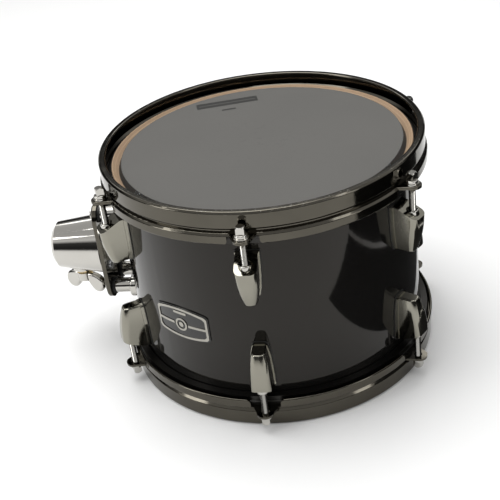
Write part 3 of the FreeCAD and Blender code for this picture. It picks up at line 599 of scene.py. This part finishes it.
def rod_head(node, side):
    """Mesh of the rod beyond its shank, closed where it was cut."""
    mesh = node.data.copy()
    shape = bmesh.new()
    shape.from_mesh(mesh)
    bmesh.ops.remove_doubles(shape, verts=shape.verts, dist=0.001 * MM)
    upper = side == "batter"
    height = SHANK[side][1] - CUT_STUB if upper else SHANK[side][0] + CUT_STUB
    cut = bmesh.ops.bisect_plane(shape, geom=shape.verts[:] + shape.edges[:] + shape.faces[:],
                                 plane_co=(0.0, 0.0, height), plane_no=(0.0, 0.0, 1.0),
                                 clear_inner=upper, clear_outer=not upper)
    rim = [part for part in cut["geom_cut"] if isinstance(part, bmesh.types.BMEdge)]
    bmesh.ops.holes_fill(shape, edges=rim)
    bmesh.ops.recalc_face_normals(shape, faces=shape.faces)
    shape.to_mesh(mesh)
    shape.free()
    return mesh


def thread_rod(side, number):
    node = NODES[f"{side}_rod_{number}"]
    box = [node.matrix_world @ Vector(corner) for corner in node.bound_box]
    middle = sum(box, Vector()) / len(box)
    low, high = SHANK[side]
    piece = bpy.data.objects.new("rod_blank", rod_head(node, side))
    bpy.context.scene.collection.objects.link(piece)
    modifier = piece.modifiers.new("thread", "NODES")
    modifier.node_group = THREAD
    values = {"Foot": (middle.x, middle.y, low), "Length": high - low,
              "Finish": bright_chrome.material, **THREAD_SETTINGS}
    for socket in THREAD.interface.items_tree:
        if socket.name in values:
            modifier[socket.identifier] = values[socket.name]
    return piece


def settle(piece, name):
    """Turn a piece with its modifier into one plain mesh object."""
    seen = piece.evaluated_get(bpy.context.evaluated_depsgraph_get())
    mesh = bpy.data.meshes.new_from_object(seen)
    bpy.data.objects.remove(piece)
    mesh.name = name
    settled = bpy.data.objects.new(name, mesh)
    bpy.context.scene.collection.objects.link(settled)
    return settled


triangles = 0
for side in SHANK:
    for number in range(1, LUG_COUNT + 1):
        rod = settle(thread_rod(side, number), f"{side}_rod_{number}_threaded")
        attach(rod, f"{side}_rod_{number}_body")
        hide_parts(f"{side}_rod_{number}")
        triangles += sum(len(face.vertices) - 2 for face in rod.data.polygons)
print(f"{2 * LUG_COUNT} rods threaded, {triangles} triangles")

# %% [markdown]
# ## The studio
# Black gloss and chrome show their surroundings more than themselves. The floor is white, which
# gives the upright walls their soft sheen. Large soft lamps overhead and to the left make crisp
# highlights on the rods, a long strip behind the drum lights the far floor and the hoops' shelves,
# and the room beyond them is dim, which gives chrome its dark bands. A
# dark card and a mat on the right keep the shell black there. Neither they nor the lamps are
# seen.

# %% Floor and card
def studio_material(name, colour, rough):
    finish = Finish(name, Roughness=rough)
    finish.set("Base Color", colour)
    return finish.material


def studio_sheet(name, corners, material):
    mesh = bpy.data.meshes.new(name)
    mesh.from_pydata(corners, [], [(0, 1, 2, 3)])
    mesh.materials.append(material)
    sheet = bpy.data.objects.new(name, mesh)
    bpy.context.scene.collection.objects.link(sheet)
    return sheet


FLOOR_REACH = 8.0
MAT_LIFT = 0.0005
CARD_TOP = 0.22

studio_sheet("floor", [(-FLOOR_REACH, -FLOOR_REACH, 0), (FLOOR_REACH, -FLOOR_REACH, 0),
                       (FLOOR_REACH, FLOOR_REACH, 0), (-FLOOR_REACH, FLOOR_REACH, 0)],
             studio_material("pale_floor", (0.90, 0.90, 0.895), 0.9))
dark = studio_material("dark_card", (0.004, 0.004, 0.004), 0.6)
card = studio_sheet("dark_card", [(0.33, -0.20, 0.001), (0.30, 0.16, 0.001),
                                  (0.30, 0.16, CARD_TOP), (0.33, -0.20, CARD_TOP)], dark)
mat = studio_sheet("dark_mat", [(0.17, -0.22, MAT_LIFT), (0.32, -0.20, MAT_LIFT),
                                (0.29, 0.16, MAT_LIFT), (0.16, 0.16, MAT_LIFT)], dark)
for sheet in (card, mat):
    for ray in ("visible_camera", "visible_diffuse", "visible_shadow"):
        setattr(sheet, ray, False)
print("floor, dark card and dark mat placed")

# %% Lamps
LAMP_TARGET = Vector((0.0, 0.0, 0.1))
LAMPS = {                               # place, width and height, watts
    "overhead_lamp": ((-0.25, 0.15, 1.7), (1.3, 1.3), 24.5),
    "left_lamp": ((-1.5, -0.7, 0.9), (0.45, 1.1), 8.0),
    "right_lamp": ((1.3, -0.6, 1.2), (0.35, 0.9), 3.2),
    "back_lamp": ((-0.3, 1.9, 1.6), (2.4, 0.28), 5.0),
}


def soft_lamp(name, place, size, power):
    """Rectangular lamp that faces the drum."""
    lamp = bpy.data.lights.new(name, "AREA")
    lamp.shape = "RECTANGLE"
    lamp.size, lamp.size_y = size
    lamp.energy = power
    holder = bpy.data.objects.new(name, lamp)
    holder.location = place
    aim = LAMP_TARGET - Vector(place)
    holder.rotation_euler = aim.to_track_quat("-Z", "Y").to_euler()
    bpy.context.scene.collection.objects.link(holder)


for name, settings in LAMPS.items():
    soft_lamp(name, *settings)
print(f"{len(LAMPS)} lamps placed")

# %% Room light
ROOM_STOPS = [                          # upward part of the direction, brightness
    (0.0, 0.10), (0.08, 0.02), (0.40, 0.05), (0.54, 0.85), (0.72, 0.60), (1.0, 0.50),
]
BACKDROP = (0.93, 0.93, 0.93, 1.0)


def light_room():
    """Dim walls, bright ceiling, and a pale backdrop where the camera looks past the floor."""
    world = bpy.data.worlds.new("studio_room")
    world.use_nodes = True
    bpy.context.scene.world = world
    tree = world.node_tree
    room = tree.nodes["Background"]
    direction = tree.nodes.new("ShaderNodeTexCoord")
    split = tree.nodes.new("ShaderNodeSeparateXYZ")
    ramp = tree.nodes.new("ShaderNodeValToRGB")
    while len(ramp.color_ramp.elements) < len(ROOM_STOPS):
        ramp.color_ramp.elements.new(0.5)
    for element, (height, brightness) in zip(ramp.color_ramp.elements, ROOM_STOPS):
        element.position = height
        element.color = (brightness, brightness, brightness, 1.0)
    tree.links.new(direction.outputs["Generated"], split.inputs[0])
    tree.links.new(split.outputs[2], ramp.inputs[0])
    seen = tree.nodes.new("ShaderNodeBackground")
    seen.inputs["Color"].default_value = BACKDROP
    tree.links.new(ramp.outputs[0], room.inputs["Color"])
    rays = tree.nodes.new("ShaderNodeLightPath")
    choose = tree.nodes.new("ShaderNodeMixShader")
    tree.links.new(rays.outputs["Is Camera Ray"], choose.inputs[0])
    tree.links.new(room.outputs[0], choose.inputs[1])
    tree.links.new(seen.outputs[0], choose.inputs[2])
    tree.links.new(choose.outputs[0], tree.nodes["World Output"].inputs["Surface"])


light_room()
bpy.context.scene.view_settings.view_transform = "Standard"
print("room lit")
